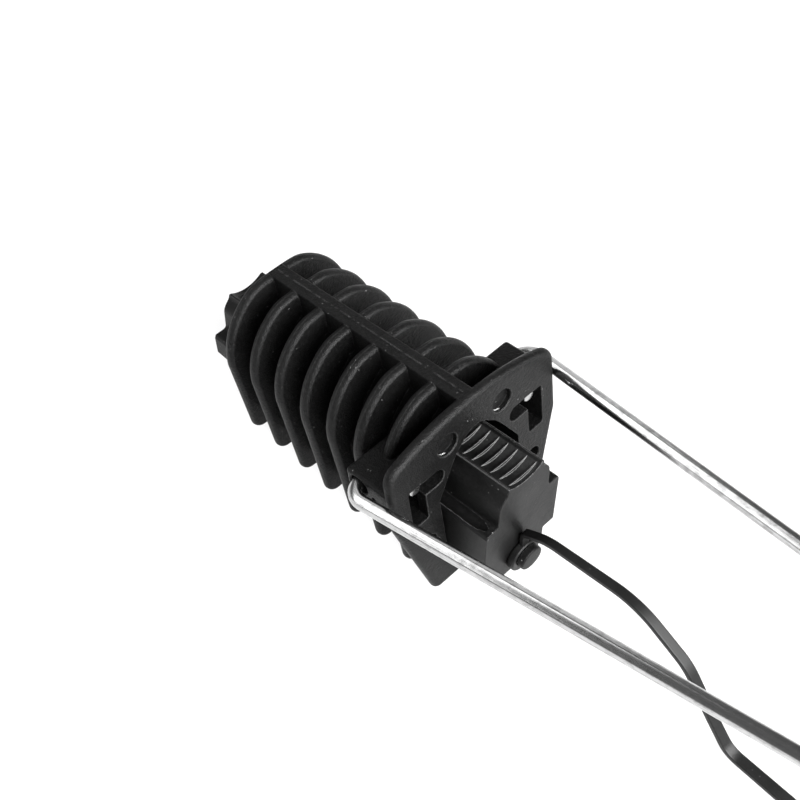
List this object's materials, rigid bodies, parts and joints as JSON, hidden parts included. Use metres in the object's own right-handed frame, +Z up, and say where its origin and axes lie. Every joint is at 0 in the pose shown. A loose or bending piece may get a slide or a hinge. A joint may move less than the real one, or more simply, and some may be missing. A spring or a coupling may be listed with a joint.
{
  "type": "tension clamp",
  "caption": "Wedge tension clamp for overhead cable: finned nylon shell with a flanged mouth, a toothed sliding wedge on a tether, and a hooked wire bail.",
  "frame": {"origin": "under the middle of the whole clamp, on the surface that it rests on", "axes": "+X towards the bail's loop, +Z up, +Y across; the gripped cable climbs 9.05 degrees towards +X"},
  "size_m": [0.3191, 0.0882, 0.0982],
  "materials": {
    "shell_nylon": "satin, glass-filled",
    "wedge_nylon": "satin, glass-filled",
    "bail_wire": "drawn stainless",
    "tether_plastic": "satin"
  },
  "bodies": {
    "shell": {"clamp_body": "shell_nylon"},
    "wedge": {"wedge": "wedge_nylon", "tether": "tether_plastic"},
    "bail": {"bail": "bail_wire"}
  },
  "joints": [
    {"name": "bail_swing", "type": "hinge", "parent": "shell", "child": "bail", "pos_m": [-0.05822, 0, 0.05285], "axis": [0, 1, 0], "range_deg": [-0.8, 20]},
    {"name": "wedge_slide", "type": "slide", "parent": "shell", "child": "wedge", "axis": [0.9997, 0, 0.023], "range_m": [-0.022, 0.022]}
  ]
}
